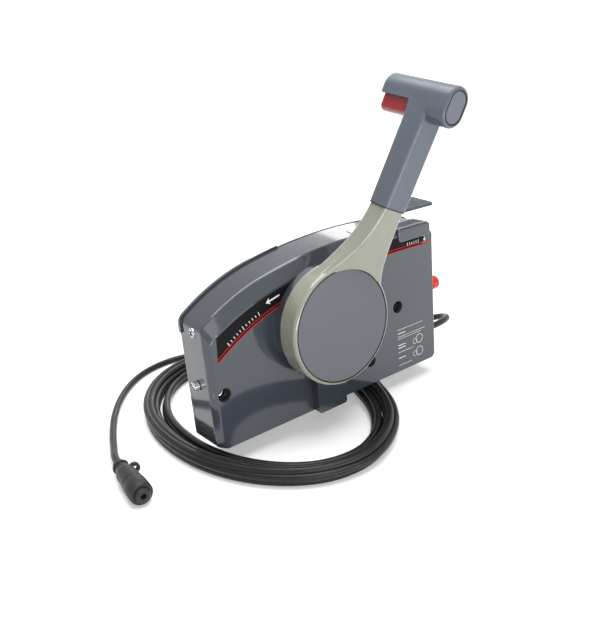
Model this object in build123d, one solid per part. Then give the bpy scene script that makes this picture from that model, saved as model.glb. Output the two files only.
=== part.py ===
from build123d import *
from math import acos, cos, pi, radians, sin, sqrt, tan
import os

# Side-mount boat throttle control: box, lever, gear train, fast-idle lever, stop switch and cable.
# Frame, in millimetres: +X points aft, +Y into the panel that the box is screwed to, +Z up.
# The origin is on the mounting face, where the axis of the lever shaft meets it.
# The lever stands in neutral.

os.makedirs("parts", exist_ok=True)

# ---- driving dimensions: box ----
box_front = 102.0           # shaft axis to the forward end, at the shoulder
box_aft = 129.5             # shaft axis to the aft end, at the shoulder
box_drop = 76.0             # shaft axis down to the flat bottom
box_depth = 34.8            # mounting face to front face
band_deep = 5.8             # from the front face back to the shoulder edge of the arched top
end_draft = 0.8             # each end grows this much from the shoulder to the mounting face
face_inset = 3.6            # front face stands in from the shoulder at the forward end
face_inset_aft = 1.2        # the same at the aft end
haunch_x = 43.4             # the two curves of the arched top meet this far forward of the shaft
arch_low = 19.5             # shoulder height at the forward end
arch_haunch = 45.0          # shoulder height where the curves meet
arch_aft = 44.0             # shoulder height at the aft end
arch_lean = 13.2            # slope of the arch where the curves meet, degrees
rise_low = 1.8              # the top climbs this much from the shoulder to the mounting face, forward end
rise_haunch = 3.6           # the same where the curves meet
rise_aft = 6.3              # the same at the aft end
band_low = 8.7              # the sloped band falls this much from the shoulder to the front face, forward end
band_haunch = 11.4          # the same where the curves meet
band_aft = 0.9              # the same at the aft end
wall = 3.0                  # moulded wall
plate_thick = 3.0           # back plate
corner_round = 5.0          # corners of the box outline
nose_round = 8.0            # the forward top corner
round_before = 1.05         # the shoulder's rounding starts this far before the edge
round_middle = 0.15         # its middle is this far before the edge
round_drop = 0.019          # and this share of the band lower
round_after = 0.48          # it ends this far past the edge
face_round = 1.2            # rounding of the front face's edge
lip = 1.3                   # the back plate's lip stands proud of the housing
lip_end = 12.0              # the lip stops this far forward of the shaft
fit = 0.3                   # running clearance
skin = 1.0                  # cuts run on this far past the face that they open
joint_depth = 1.5           # parts of one moulding run this far into each other

# ---- driving dimensions: front of the box ----
boss_radius = 43.0          # round boss behind the hub
boss_height = 8.2
tab_width = 28.8            # guard tab under the hub
tab_height = 8.0
tab_top = -31.0             # the tab's upper end, hidden behind the hub
tab_round = 2.5
pad_length = 38.0           # raised pad at the aft top corner
pad_tall = 11.4
pad_proud = 1.5
pad_inset = 3.4             # from the pad to the aft end of the front face
pad_top = 51.4
pad_round = 3.5
pad_edge = 1.4              # rounding of the pad's front edge
pad_reach = 20.0            # the pad runs back this far from the front face

# ---- driving dimensions: mounting bolts and end screws ----
forward_bolt_in = 9.4       # from the forward end to the forward bolt
forward_bolt_height = -32.5
aft_bolt_in = 45.7          # from the aft end to the aft bolt
aft_bolt_height = -15.3
lower_bolt_x = 49.8
lower_bolt_up = 21.9        # from the bottom up to the lower bolt
bolt_bore = 3.3             # radius of the sleeve's bore, for an M6 bolt
sleeve_wall = 1.4
sleeve_flange = 1.6         # thickness of the flange that the bolt's head bears on
recess_radius = 5.4
recess_deep = 11.0
column_wall = 2.6           # round the recess
cover_screw_radius = 2.5
cover_screw_depth = 17.0    # mounting face to the screw's axis
cover_screw_height = 14.5
cover_screw_long = 12.0
cover_screw_boss = 3.0      # wall of the boss round the screw
cover_head_grow = 1.5       # the head is wider than the shank by this much all round
cover_head_thick = 1.1
cover_head_proud = 0.6
friction_radius = 2.6
friction_depth = 14.5
friction_height = -27.6
friction_head = 4.0
friction_proud = 3.6
friction_gap = 0.8          # the screw stops this far from the forward bolt's sleeve

# ---- driving dimensions: lever ----
lever_lean_aft = 23.3       # neutral position, degrees aft of upright
grip_lean_out = 11.3        # the grip leans out from the panel, degrees
hub_radius = 46.5
hub_thick = 19.7
hub_gap = 0.5               # between the boss and the hub
hub_round = 3.0
cap_radius = 43.6
cap_thick = 1.8
cap_gap = 0.1               # round the cap and behind it
cap_sunk = 0.3
hub_pocket_radius = 37.0
hub_web = 6.5               # web at the back of the hub
hub_seat = 2.0              # the boss round the shaft stands proud of the web
hub_seat_wall = 6.0
washer_radius = 9.5
washer_thick = 1.4
bolt_head_radius = 6.3      # to the corners of the hexagon
bolt_head_thick = 5.0
arm_low_up = 26.0           # four sections of the arm: up from the shaft, width, depth and so on
arm_low_wide = 74.0
arm_low_deep = 17.3
arm_waist_up = 42.0
arm_waist_wide = 54.0
arm_waist_deep = 13.2
arm_waist_out = 4.6         # the section's middle stands out from the hub's middle by this much
arm_waist_lean = 14.0       # the arm leans out from the panel here, degrees
arm_neck_up = 56.0
arm_neck_wide = 38.5
arm_neck_deep = 14.6
arm_neck_out = 11.0
arm_neck_lean = 21.0
arm_shank_up = 74.0
arm_shank_wide = 26.0
arm_shank_deep = 16.6
arm_shank_out = 18.0
arm_shank_lean = 17.0
arm_round = 3.5
arm_step = 0.7              # the arm stands in from the grip by this much all round
tongue_wide = 15.0          # tongue of the arm inside the grip
tongue_deep = 13.0
tongue_long = 34.0
tongue_round = 2.0

# ---- driving dimensions: grip and trigger ----
grip_start = 94.5           # up the lever to the bottom of the grip
grip_width = 22.0
grip_deep = 19.5
grip_round = 3.5
grip_offset = 58.4          # grip axis crosses the shaft's level this far from the mounting face
head_centre = 172.0         # up the grip axis to the centre of the cross head
head_tilt = 1.2             # the back of the head dips by this angle, degrees
head_tall = 28.5
head_wide = 20.8
head_front = 26.0           # from the grip axis out to the front end
head_back = 41.0            # from the grip axis in to the back end
head_round = 2.5
end_cap_rim = 2.9           # rim of the head round its end cap
end_cap_gap = 0.3
end_cap_sunk = 0.4
end_cap_thick = 2.1
beam_tall = 16.6            # the head over the trigger is only this tall
trigger_wide = 14.4
trigger_tall = 14.6
trigger_lap = 0.5           # the trigger's top stands this far inside the beam at rest
trigger_reach = 39.2
trigger_stem = 9.0          # width of the part inside the grip
trigger_stem_front = 4.0    # the stem runs this far in front of the grip axis
trigger_round = 5.5
trigger_travel = 6.0
rod_radius = 2.0
rod_play = 1.6              # the rod's channel is wider than the rod by this much all round
rod_offset = 1.5            # the rod runs this far behind the grip axis
rod_bend = 30.0
rod_hall = 8.0              # width of the hollow between the channel and the trigger's pocket

# ---- driving dimensions: shaft, neutral lock and gears ----
shaft_radius = 6.0
bush_wall = 2.5
shaft_seat = 5.0            # height of the bearing boss of the shaft's far end
shaft_seat_wall = 3.5
lock_ring_inner = 20.0
lock_ring_wall = 4.5
lock_ring_sunk = 0.4
lock_pin_rise = 0.8         # the lock pin ends this far above the groove's floor
notch_play = 0.6
groove_deep = 5.0           # groove in the boss that the lock pin runs in
module = 2.0
pinion_teeth = 18
sector_teeth = 36
pressure_angle = 20.0
backlash = 0.25
gear_width = 7.0
gear_depth = 10.0           # mounting face to the near side of the gears
pinion_hub_wall = 3.0
pinion_hub = 4.0            # the pinion's hub stands proud of its teeth
shift_arm_length = 34.0
shift_arm_wide = 10.0
shift_arm_thick = 3.0
cable_pin_radius = 2.5
cable_pin_long = 5.0
pivot_radius = 3.0
pivot_head_grow = 1.6
pivot_head_thick = 1.2
sector_hub_wall = 5.0
sector_side_teeth = 5
sector_window_wide = 9.0
sector_window_radius = 21.0
sector_window_turn = 32.0   # the window runs this many degrees each way
detent_radius = 17.0
detent_thick = 3.0
detent_turn = 35.0          # from the neutral notch to the forward and the reverse notch, degrees
notch_out = 1.2             # centre of a notch outside the plate's edge
ball_radius = 3.0
holder_wide = 14.0
holder_tall = 24.0
holder_wall = 6.0
holder_bore_play = 0.1
holder_bore_deep = 18.0

# ---- driving dimensions: fast-idle lever ----
idle_pivot = (66.0, 42.5)
idle_ring_wall = 3.0
idle_neck = 10.0
neck_wide = 9.0
neck_setback = 12.8         # from the front face back to the middle of the neck
pin_past_neck = 3.0
idle_tail_thick = 6.0
idle_tail_long = 24.0
idle_tail_turn = 35.0       # degrees from upright
idle_tail_place = (-9.0, -10.0)
slot_length = 25.0
slot_play = 2.0
slot_middle = -6.5          # middle of the slot, from the pivot
slot_floor = 5.0            # the slot starts this far above the pivot
blade_thick = 2.6
blade_foot = 64.0           # underside of the blade
blade_start = 4.0           # forward edge of the blade's wide part, from the pivot
blade_gap = 1.0             # from the panel to the blade
blade_aft = 130.5           # aft end of the blade at its front edge
blade_skew = 9.0            # the aft end runs further aft towards the panel
blade_round = 2.5
link_short = 20.0           # the neck's flat link stops this far short of the blade's end
idle_lift = 30.0            # travel, degrees
throttle_pivot = (58.0, 4.0)
throttle_hub_wall = 4.0
throttle_arm_length = 30.0
throttle_arm_wide = 10.0
throttle_arm_thick = 4.0
throttle_arm_turn = -110.0  # degrees from straight aft, up
throttle_horn_length = 18.0
throttle_horn_wide = 8.0
throttle_horn_turn = 70.0   # the same for the horn, degrees
throttle_pin_long = 2.0

# ---- driving dimensions: stop switch and cable ----
switch_depth = 18.8         # mounting face to the axis of switch and cable
switch_height = -12.3
switch_radius = 7.0
switch_length = 24.0
switch_neck = 1.2           # the threaded neck is thinner than the body by this much all round
switch_neck_out = 6.0       # the neck stands out from the end by this much
terminal_long = 6.0
terminal_wide = 4.0
terminal_thick = 0.8
terminal_place = 3.0        # each blade from the switch's axis
nut_grow = 2.2
nut_thick = 3.6
nut_gap = 0.6               # from the end face to the nut
stem_radius = 3.4
stem_play = 0.2
stem_inside = 3.0
stem_room = 6.2             # the bore reaches this far in from the end
button_radius = 6.2
button_thick = 9.0
button_round = 2.2
button_out = 19.0           # end to the button's crown
button_travel = 3.0
cable_height = -55.0
cable_radius = 3.0
grommet_neck = 4.8
grommet_radius = 6.4
grommet_out = 3.5
grommet_gap = 0.2
floor_height = -91.0
coil_centre = (-22.0, 20.0)
coil_radii = (88.0, 118.0)  # to the middle of the turns, along X and along Y
coil_band = 28.0
coil_round = 3.0

# ---- driving dimensions: connector, distances from the end of the cable and radii ----
boot_back = 9.0
boot_wall = 1.4
boot_flare = 2.2
boot_mouth = 6.0
boot_front = 6.0
eye_radius = 4.4
eye_hole = 2.1
eye_thick = 2.8
eye_out = 7.6               # the eye's centre from the cable's axis
eye_along = 2.5
body_back = 6.8
body_front = 8.0
body_end = 24.0
body_shoulder = 2.0         # length of the body's short cone
seal_radius = 8.2
seal_end = 26.0
ring_radius = 8.6
ring_end = 41.5
ring_cone = 1.5
plug_radius = 5.6
plug_end = 44.5
plug_cone = 1.0
socket_radius = 2.2
socket_deep = 4.5

# ---- worked out from the sizes above ----
bolt_places = (
    (forward_bolt_in - box_front, forward_bolt_height),
    (box_aft - aft_bolt_in, aft_bolt_height),
    (lower_bolt_x, lower_bolt_up - box_drop),
)
sleeve_radius = bolt_bore + sleeve_wall
column_radius = recess_radius + column_wall
shoulder_depth = box_depth - band_deep
cavity_front = box_depth - wall
boss_face = box_depth + boss_height
hub_back = boss_face + hub_gap
hub_middle = hub_back + hub_thick / 2
hub_face = hub_back + hub_thick
hub_floor = hub_back + hub_web
bolt_seat = hub_floor + hub_seat
rod_depth = hub_floor + fit + rod_radius
channel_radius = rod_radius + rod_play
lock_ring_outer = lock_ring_inner + lock_ring_wall
pin_circle = lock_ring_outer + fit + rod_radius
groove_outer = pin_circle + trigger_travel + rod_radius + skin
groove_floor = boss_face - groove_deep
head_top = head_tall / 2                                # these two are in the head's own frame
trigger_foot = head_top - beam_tall - trigger_tall + trigger_lap
pinion_pitch = module * pinion_teeth / 2
sector_pitch = module * sector_teeth / 2
sector_pivot = (-(pinion_pitch + sector_pitch), 0.0)
detent_near = gear_depth + gear_width + pinion_hub
detent_middle = detent_near + detent_thick / 2
ball_height = -detent_radius - fit - ball_radius
neck_depth = box_depth - neck_setback
friction_inner = box_front - forward_bolt_in + sleeve_radius + friction_gap
end_face = box_aft + end_draft / 2
coil_top = -box_drop - fit
cable_level = floor_height + cable_radius + 0.05
plug_level = floor_height + ring_radius + 0.1
GREY = Color(0.27, 0.30, 0.36)
BEIGE = Color(0.52, 0.52, 0.47)
STEEL = Color(0.70, 0.71, 0.73)
BRASS = Color(0.75, 0.60, 0.30)
RED = Color(0.75, 0.05, 0.06)
BLACK = Color(0.06, 0.06, 0.07)


def save(shape, name, colour=GREY):
    shape.label = name
    shape.color = colour
    export_step(shape, f"parts/{name}.step")


def depth_plane(depth, x=0.0, z=0.0):
    """Plane facing the viewer, this deep out from the mounting face; its x is X and its y is Z."""
    return Plane(origin=(x, -depth, z), x_dir=(1, 0, 0), z_dir=(0, -1, 0))


def disc(radius, near, far, x=0.0, z=0.0):
    """Round bar along Y from the depth near to the depth far."""
    return extrude(depth_plane(near, x, z) * Circle(radius), far - near)


def end_plane(x, depth, z):
    """Plane facing aft, its x into the panel."""
    return Plane(origin=(x, -depth, z), x_dir=(0, 1, 0), z_dir=(1, 0, 0))


def end_disc(radius, x_from, x_to, depth, z):
    """Round bar along X."""
    return extrude(end_plane(x_from, depth, z) * Circle(radius), x_to - x_from)


# ---- outline of the box ----
def box_section(depth, grow, grow_aft, lifts, inset=0.0):
    """Outline of the box: flat bottom, upright ends and an arched top of two tangent curves.

    lifts raise the arch from the shoulder's at the forward end, the haunch and the aft end.
    """
    front, rear, foot = -box_front - grow + inset, box_aft + grow_aft - inset, -box_drop + inset
    low = (front, arch_low + lifts[0] - inset)
    haunch = (-haunch_x, arch_haunch + lifts[1] - inset)
    high = (rear, arch_aft + lifts[2] - inset)
    lean = radians(arch_lean)
    edges = Line((front, foot), (rear, foot)) + Line((rear, foot), high)
    edges += TangentArc(haunch, high, tangent=(cos(lean), sin(lean)))
    edges += TangentArc(haunch, low, tangent=(-cos(lean), -sin(lean)))
    edges += Line(low, (front, foot))
    face = make_face(edges)
    nose = [v for v in face.vertices() if abs(v.X - front) < 0.1 and v.Y > 0]
    face = fillet(nose, nose_round - inset)
    corners = [v for v in face.vertices() if v.Y < foot + 0.1 or abs(v.X - rear) < 0.1]
    return depth_plane(depth) * fillet(corners, corner_round - inset)


def wall_section(depth, inset=0.0):
    """Section between the mounting face and the shoulder."""
    share = 1 - depth / shoulder_depth
    lifts = (rise_low * share, rise_haunch * share, rise_aft * share)
    return box_section(depth, end_draft * share, end_draft * share, lifts, inset)


def band_section(depth, share, inset=0.0):
    """Section of the sloped band, this share of the way from the shoulder to the front face."""
    lifts = (-band_low * share, -band_haunch * share, -band_aft * share)
    return box_section(depth, -face_inset * share, -face_inset_aft * share, lifts, inset)


def edges_at(shape, depth):
    """Edges of a shape that lie at this depth."""
    return [e for e in shape.edges() if abs(e.center().Y + depth) < 0.01]


def round_box(plane, width, tall, thick, radius):
    return extrude(plane * RectangleRounded(width, tall, radius), thick)


# ---- lever frames ----
aft = radians(lever_lean_aft)
out = radians(grip_lean_out)
across = (cos(aft), 0, -sin(aft))


def arm_plane(up, depth, lean):
    """Plane across the arm: x runs aft, y into the panel and z up the arm, leaning out by lean."""
    tip = radians(lean)
    return Plane(
        origin=(up * sin(aft), -depth, up * cos(aft)),
        x_dir=across,
        z_dir=(sin(aft) * cos(tip), -sin(tip), cos(aft) * cos(tip)),
    )


def grip_plane(up):
    """Plane across the grip at a length up its axis, measured from the shaft's level."""
    return arm_plane(up * cos(out), grip_offset + up * sin(out), grip_lean_out)


def grip_block(u_from, u_to, w_from, w_to, wide, radius=0.0):
    """Block in the grip frame, centred across: u up the grip, w into the panel."""
    tall = w_to - w_from
    outline = RectangleRounded(wide, tall, radius) if radius else Rectangle(wide, tall)
    return extrude(grip_plane(u_from) * Pos(0, (w_from + w_to) / 2) * outline, u_to - u_from)


def head_frame(up=0.0):
    """Plane across the grip at the cross head: x aft, y back along the head, z up from its axis."""
    base = grip_plane(head_centre)
    tip = radians(grip_lean_out - head_tilt)
    upward = Vector(sin(aft) * cos(tip), -sin(tip), cos(aft) * cos(tip))
    return Plane(origin=base.origin + upward * up, x_dir=across, z_dir=upward)


def head_plane(w):
    """Plane across the head at w: x up the grip and z into the panel."""
    base = head_frame()
    return Plane(origin=base.from_local_coords(Vector(0, w, 0)), x_dir=base.z_dir, z_dir=base.y_dir)


def head_block(u_from, u_to, w_from, w_to, wide):
    """Block in the head's frame, centred across: u up from its axis, w into the panel."""
    outline = Pos(0, (w_from + w_to) / 2) * Rectangle(wide, w_to - w_from)
    return extrude(head_frame(u_from) * outline, u_to - u_from)


def head_bar(w_from, w_to, tall, wide):
    """Upright oval bar along the head's own axis."""
    return extrude(head_plane(w_from) * SlotOverall(tall, wide), w_to - w_from)


# ---- box ----
def housing_pad():
    pad_x = box_aft - face_inset_aft - pad_inset - pad_length / 2
    back = box_depth - pad_reach
    thick = pad_reach + pad_proud
    pad = round_box(depth_plane(back, pad_x, pad_top - pad_tall / 2), pad_length, pad_tall, thick, pad_round)
    return fillet(edges_at(pad, box_depth + pad_proud), pad_edge)


def housing_tab():
    foot = -box_drop
    plane = depth_plane(box_depth - joint_depth, 0, (tab_top + foot) / 2)
    return round_box(plane, tab_width, tab_top - foot, tab_height + joint_depth, tab_round)


def housing_shell():
    """Outer shell with its boss, tab, pad and the screw columns inside."""
    outer = loft(
        [
            wall_section(plate_thick), wall_section(shoulder_depth - round_before),
            band_section(shoulder_depth - round_middle, round_drop),
            band_section(shoulder_depth + round_after, round_after / band_deep),
            band_section(box_depth, 1),
        ],
        ruled=True,
    )
    outer = fillet(edges_at(outer, box_depth), face_round)
    hollow = loft(
        [
            wall_section(plate_thick, wall), band_section(shoulder_depth - wall / 2, 0, wall),
            band_section(cavity_front, 1, wall),
        ],
        ruled=True,
    )
    body = outer - hollow
    body += disc(boss_radius, box_depth - joint_depth, boss_face)
    body += housing_tab()
    body += housing_pad() - hollow
    inner = -box_front + wall - joint_depth
    reach = inner + cover_screw_long
    body += end_disc(cover_screw_radius + cover_screw_boss, inner, reach, cover_screw_depth, cover_screw_height)
    for x, z in bolt_places:
        body += disc(column_radius, plate_thick, box_depth - joint_depth, x, z)
    return body


def front_housing():
    body = housing_shell()
    for x, z in bolt_places:
        body -= disc(recess_radius, box_depth - recess_deep, box_depth + skin, x, z)
        body -= disc(sleeve_radius, 0, box_depth, x, z)
    # lever shaft bush and the groove that the neutral lock pin runs in
    body -= disc(shaft_radius + bush_wall, cavity_front - skin, boss_face + skin)
    groove = Circle(groove_outer) - Circle(lock_ring_inner)
    body -= extrude(depth_plane(groove_floor) * groove, groove_deep + skin)
    # slot in the top for the neck of the fast-idle lever
    slot_tall = blade_foot - idle_pivot[1]
    slot = Box(slot_length, neck_wide + slot_play, slot_tall)
    x, z = idle_pivot
    body -= Pos(x + slot_middle, -neck_depth, z + slot_floor + slot_tall / 2) * slot
    # forward end: cover screw and friction screw; aft end: stop switch and cable grommet
    end = -box_front - end_draft - skin
    cover_end = -box_front + wall - joint_depth + cover_screw_long - skin
    body -= end_disc(cover_screw_radius, end, cover_end, cover_screw_depth, cover_screw_height)
    seat = -box_front + cover_head_thick - cover_head_proud
    head_hole = cover_screw_radius + cover_head_grow + cap_gap
    body -= end_disc(head_hole, end, seat, cover_screw_depth, cover_screw_height)
    body -= end_disc(friction_radius + fit / 2, end, -friction_inner, friction_depth, friction_height)
    near, far = box_aft - wall - joint_depth, end_face + skin
    body -= end_disc(switch_radius - switch_neck, near, far, switch_depth, switch_height)
    return body - end_disc(grommet_neck, near, far, switch_depth, cable_height)


def post_seats():
    """Where pivot pins stand in the back plate."""
    return sector_pivot, throttle_pivot


def back_plate():
    outline = wall_section(0)
    plate = extrude(outline, plate_thick)
    proud = extrude(offset(outline, lip), plate_thick)
    # the lip runs up the forward end and along the arch as far as its stop
    long = box_front + end_draft + lip - lip_end + skin
    tall = arch_haunch + rise_haunch - arch_low + nose_round + lip_end
    keep = Pos(-lip_end - long / 2, -plate_thick / 2, arch_low - nose_round + tall / 2)
    plate += proud & keep * Box(long, 2 * plate_thick, tall)
    seat_end = plate_thick + shaft_seat
    plate += disc(shaft_radius + fit / 2 + shaft_seat_wall, plate_thick - joint_depth, seat_end)
    plate -= disc(shaft_radius + fit / 2, plate_thick, seat_end + skin)
    for x, z in bolt_places:
        plate -= disc(sleeve_radius, -skin, plate_thick + skin, x, z)
    for x, z in post_seats():
        post = gear_depth - fit
        plate += disc(pivot_radius + pivot_head_grow + skin, plate_thick - joint_depth, post, x, z)
        plate -= disc(pivot_radius, plate_thick - joint_depth, post + skin, x, z)
    return plate


def bolt_sleeve(x, z):
    top = box_depth - recess_deep
    body = disc(sleeve_radius, 0, top, x, z) + disc(recess_radius - fit, top, top + sleeve_flange, x, z)
    return body - disc(bolt_bore, -skin, top + sleeve_flange + skin, x, z)


def end_screw():
    seat = -box_front + cover_head_thick - cover_head_proud
    head = cover_screw_radius + cover_head_grow
    body = end_disc(head, -box_front - cover_head_proud, seat, cover_screw_depth, cover_screw_height)
    far = -box_front + cover_screw_long
    return body + end_disc(cover_screw_radius, -box_front, far, cover_screw_depth, cover_screw_height)


def friction_screw():
    seat = -box_front - end_draft
    near = seat - friction_proud
    body = end_disc(friction_radius, seat - skin, -friction_inner, friction_depth, friction_height)
    return body + end_disc(friction_head, near, seat - cap_gap, friction_depth, friction_height)


# ---- gears ----
def involute(radius, base):
    return sqrt((radius / base) ** 2 - 1) - acos(base / radius) if radius > base else 0.0


def tooth_points(teeth, middle):
    """Flank points of one tooth, with its middle at the angle given in radians."""
    pitch = module * teeth / 2
    base = pitch * cos(radians(pressure_angle))
    half = pi / (2 * teeth) - backlash / (2 * pitch) + involute(pitch, base)
    tip = pitch + module
    root = pitch - 1.25 * module
    radii = [root, max(base, root + module / 10), pitch, (pitch + tip) / 2, tip]
    one_side = [(r, middle - half + involute(r, base)) for r in radii]
    other_side = [(r, middle + half - involute(r, base)) for r in reversed(radii)]
    return [(r * cos(a), r * sin(a)) for r, a in one_side + other_side]


def drive_pinion():
    points = []
    for tooth in range(pinion_teeth):
        points += tooth_points(pinion_teeth, pi + 2 * pi * tooth / pinion_teeth)
    outline = make_face(Polyline(*points, close=True))
    body = extrude(depth_plane(gear_depth) * outline, gear_width)
    teeth_end = gear_depth + gear_width
    body += disc(shaft_radius + pinion_hub_wall, teeth_end, teeth_end + pinion_hub)
    return body - disc(shaft_radius, 0, box_depth)


def shift_sector():
    """Toothed sector with the hub of its pivot and the arm that the shift cable hangs on."""
    step = 2 * pi / sector_teeth
    points = [(0.0, 0.0)]
    for tooth in range(-sector_side_teeth, sector_side_teeth):
        points += tooth_points(sector_teeth, (tooth + 0.5) * step)
    plane = depth_plane(gear_depth, *sector_pivot)
    body = extrude(plane * make_face(Polyline(*points, close=True)), gear_width)
    turn = sector_window_turn
    window = SlotArc(CenterArc((0, 0), sector_window_radius, -turn, 2 * turn), sector_window_wide)
    body -= extrude(plane * window, gear_width)
    body += extrude(plane * Circle(pivot_radius + sector_hub_wall), gear_width + shift_arm_thick)
    arm = Pos(0, -shift_arm_length / 2) * SlotCenterToCenter(shift_arm_length, shift_arm_wide, rotation=90)
    body += extrude(plane.offset(gear_width) * arm, shift_arm_thick)
    body -= extrude(plane * Circle(pivot_radius + fit / 2), gear_width + shift_arm_thick + skin)
    cable_pin = plane.offset(gear_width + shift_arm_thick) * Pos(0, -shift_arm_length)
    return body + extrude(cable_pin * Circle(cable_pin_radius), cable_pin_long)


def pivot_pin(place, far):
    """Headed pin that stands in the back plate."""
    x, z = place
    head = disc(pivot_radius + pivot_head_grow, far, far + pivot_head_thick, x, z)
    return disc(pivot_radius, plate_thick, far, x, z) + head


def idle_pivot_pin():
    x, z = idle_pivot
    return disc(pivot_radius, plate_thick, neck_depth + neck_wide / 2 + pin_past_neck, x, z)


# ---- fast idle ----
def blade_outline():
    """Flat lever over the box, wide aft of the pivot, with the narrow link that joins its neck."""
    x = idle_pivot[0]
    corners = (
        (x + blade_start, -blade_gap), (blade_aft + blade_skew, -blade_gap),
        (blade_aft, -box_depth), (x + blade_start, -box_depth),
    )
    blade = make_face(Polyline(*corners, close=True))
    blade = fillet(blade.vertices(), blade_round)
    root = x - idle_neck / 2
    link = Rectangle(blade_aft - root - link_short, neck_wide, align=(Align.MIN, Align.CENTER))
    return blade + Pos(root, -neck_depth) * link


def fast_idle_lever():
    x, z = idle_pivot
    near, far = neck_depth - neck_wide / 2, neck_depth + neck_wide / 2
    neck_tall = blade_foot + blade_thick - z
    body = disc(pivot_radius + idle_ring_wall, near, far, x, z)
    body += Pos(x, -neck_depth, z + neck_tall / 2) * Box(idle_neck, neck_wide, neck_tall)
    tail_x, tail_z = idle_tail_place
    tail = Rot(0, idle_tail_turn, 0) * Box(idle_tail_thick, neck_wide, idle_tail_long)
    body += Pos(x + tail_x, -neck_depth, z + tail_z) * tail
    body += extrude(Plane.XY.offset(blade_foot) * blade_outline(), blade_thick)
    return body - disc(pivot_radius + fit / 2, 0, box_depth, x, z)


def throttle_arm():
    """Two-ended lever: the horn is pushed by the lever's cam, the arm pulls the throttle cable."""
    plane = depth_plane(gear_depth, *throttle_pivot)
    body = extrude(plane * Circle(pivot_radius + throttle_hub_wall), gear_width)
    ends = (
        (throttle_arm_turn, throttle_arm_length, throttle_arm_wide),
        (throttle_horn_turn, throttle_horn_length, throttle_horn_wide),
    )
    for turn, long, wide in ends:
        arm = Rot(0, 0, turn) * Pos(long / 2, 0) * SlotCenterToCenter(long, wide)
        body += extrude(plane * arm, throttle_arm_thick)
    body -= extrude(plane * Circle(pivot_radius + fit / 2), gear_width + skin)
    end = Rot(0, 0, throttle_arm_turn) * Pos(throttle_arm_length, 0) * Circle(cable_pin_radius)
    return body + extrude(plane.offset(throttle_arm_thick) * end, throttle_arm_thick + throttle_pin_long)


# ---- lever ----
def arm_sections():
    """Sections up the arm: place and lean of each, its width and depth."""
    top = grip_start - cap_gap
    stations = (
        (arm_low_up, hub_middle, 0.0, arm_low_wide, arm_low_deep),
        (arm_waist_up, hub_middle + arm_waist_out, arm_waist_lean, arm_waist_wide, arm_waist_deep),
        (arm_neck_up, hub_middle + arm_neck_out, arm_neck_lean, arm_neck_wide, arm_neck_deep),
        (arm_shank_up, hub_middle + arm_shank_out, arm_shank_lean, arm_shank_wide, arm_shank_deep),
        (
            top * cos(out), grip_offset + top * sin(out), grip_lean_out,
            grip_width - 2 * arm_step, grip_deep - 2 * arm_step,
        ),
    )
    return [
        arm_plane(up, depth, lean) * RectangleRounded(wide, deep, arm_round)
        for up, depth, lean, wide, deep in stations
    ]


def control_arm():
    hub = disc(hub_radius, hub_back, hub_face)
    hub = fillet(hub.edges().filter_by(GeomType.CIRCLE), hub_round)
    half = tongue_deep / 2
    tongue = grip_block(grip_start - skin, grip_start + tongue_long, -half, half, tongue_wide, tongue_round)
    body = hub + loft(arm_sections()) + tongue
    body -= disc(cap_radius + cap_gap, hub_face - cap_thick, hub_face + hub_thick)
    body -= disc(hub_pocket_radius, hub_floor, hub_face)
    body += disc(shaft_radius + hub_seat_wall, hub_back, bolt_seat)
    body -= disc(shaft_radius, hub_back - skin, hub_face)
    # channel for the lock rod and slot for its pin
    body -= rod_channel()
    pin_slot = Rot(0, 0, 90 - lever_lean_aft) * Pos(pin_circle + trigger_travel / 2, 0)
    pin_slot *= SlotCenterToCenter(trigger_travel + 2 * fit, 2 * channel_radius - rod_play)
    return body - extrude(depth_plane(hub_back - skin) * pin_slot, hub_web + 3 * skin)


def rod_route(top):
    """Middle line of the lock rod: down inside the grip, then down the arm to the hub."""
    bend = grip_plane(grip_start + 2 * rod_radius).from_local_coords(Vector(0, rod_offset, 0))
    foot = arm_plane(pin_circle, rod_depth, 0).origin
    return FilletPolyline(top, bend, foot, radius=rod_bend)


def rod_sweep(path, radius):
    return sweep(Plane(origin=path @ 0, z_dir=path % 0) * Circle(radius), path=path)


def rod_channel():
    top = grip_plane(grip_start + tongue_long + 5 * skin).from_local_coords(Vector(0, rod_offset, 0))
    return rod_sweep(rod_route(top), channel_radius)


def lock_rod():
    top = head_frame(trigger_foot).from_local_coords(Vector(0, rod_offset, 0))
    foot = arm_plane(pin_circle, rod_depth, 0).origin
    pin = disc(rod_radius, groove_floor + lock_pin_rise, rod_depth, foot.X, foot.Z)
    return rod_sweep(rod_route(top), rod_radius) + pin + Pos(foot) * Sphere(rod_radius)


def grip():
    """Sleeve over the arm with the cross head; the back of the head is a beam over the trigger."""
    half = grip_deep / 2
    body = grip_block(grip_start, head_centre, -half, half, grip_width, grip_round)
    head = head_bar(-head_front, half, head_tall, head_wide)
    beam = head_bar(half - skin, head_back, head_tall, head_wide)
    beam &= head_block(head_top - beam_tall, head_top + skin, half - skin, head_back, head_wide)
    head += beam
    for end in (-head_front, head_back):
        plane = head_plane(end)
        head = fillet([e for e in head.edges() if abs(plane.to_local_coords(e.center()).Z) < 0.01], head_round)
    body += head
    half = tongue_deep / 2
    body -= grip_block(grip_start - skin, grip_start + tongue_long, -half, half, tongue_wide, tongue_round)
    body -= rod_channel()
    low, high = rod_offset - rod_hall / 2, rod_offset + rod_hall / 2
    body -= grip_block(grip_start + tongue_long - skin, head_centre + trigger_foot, low, high, rod_hall)
    top = trigger_foot + trigger_tall + trigger_travel + fit
    back = trigger_reach + fit + skin
    body -= head_block(trigger_foot - fit, top, -trigger_stem_front - fit, back, trigger_wide + 2 * fit)
    tall, wide = head_tall - 2 * end_cap_rim, head_wide - 2 * end_cap_rim
    cap_deep = end_cap_sunk + end_cap_thick
    return body - extrude(head_plane(-head_front - skin) * SlotOverall(tall, wide), cap_deep + skin)


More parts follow.
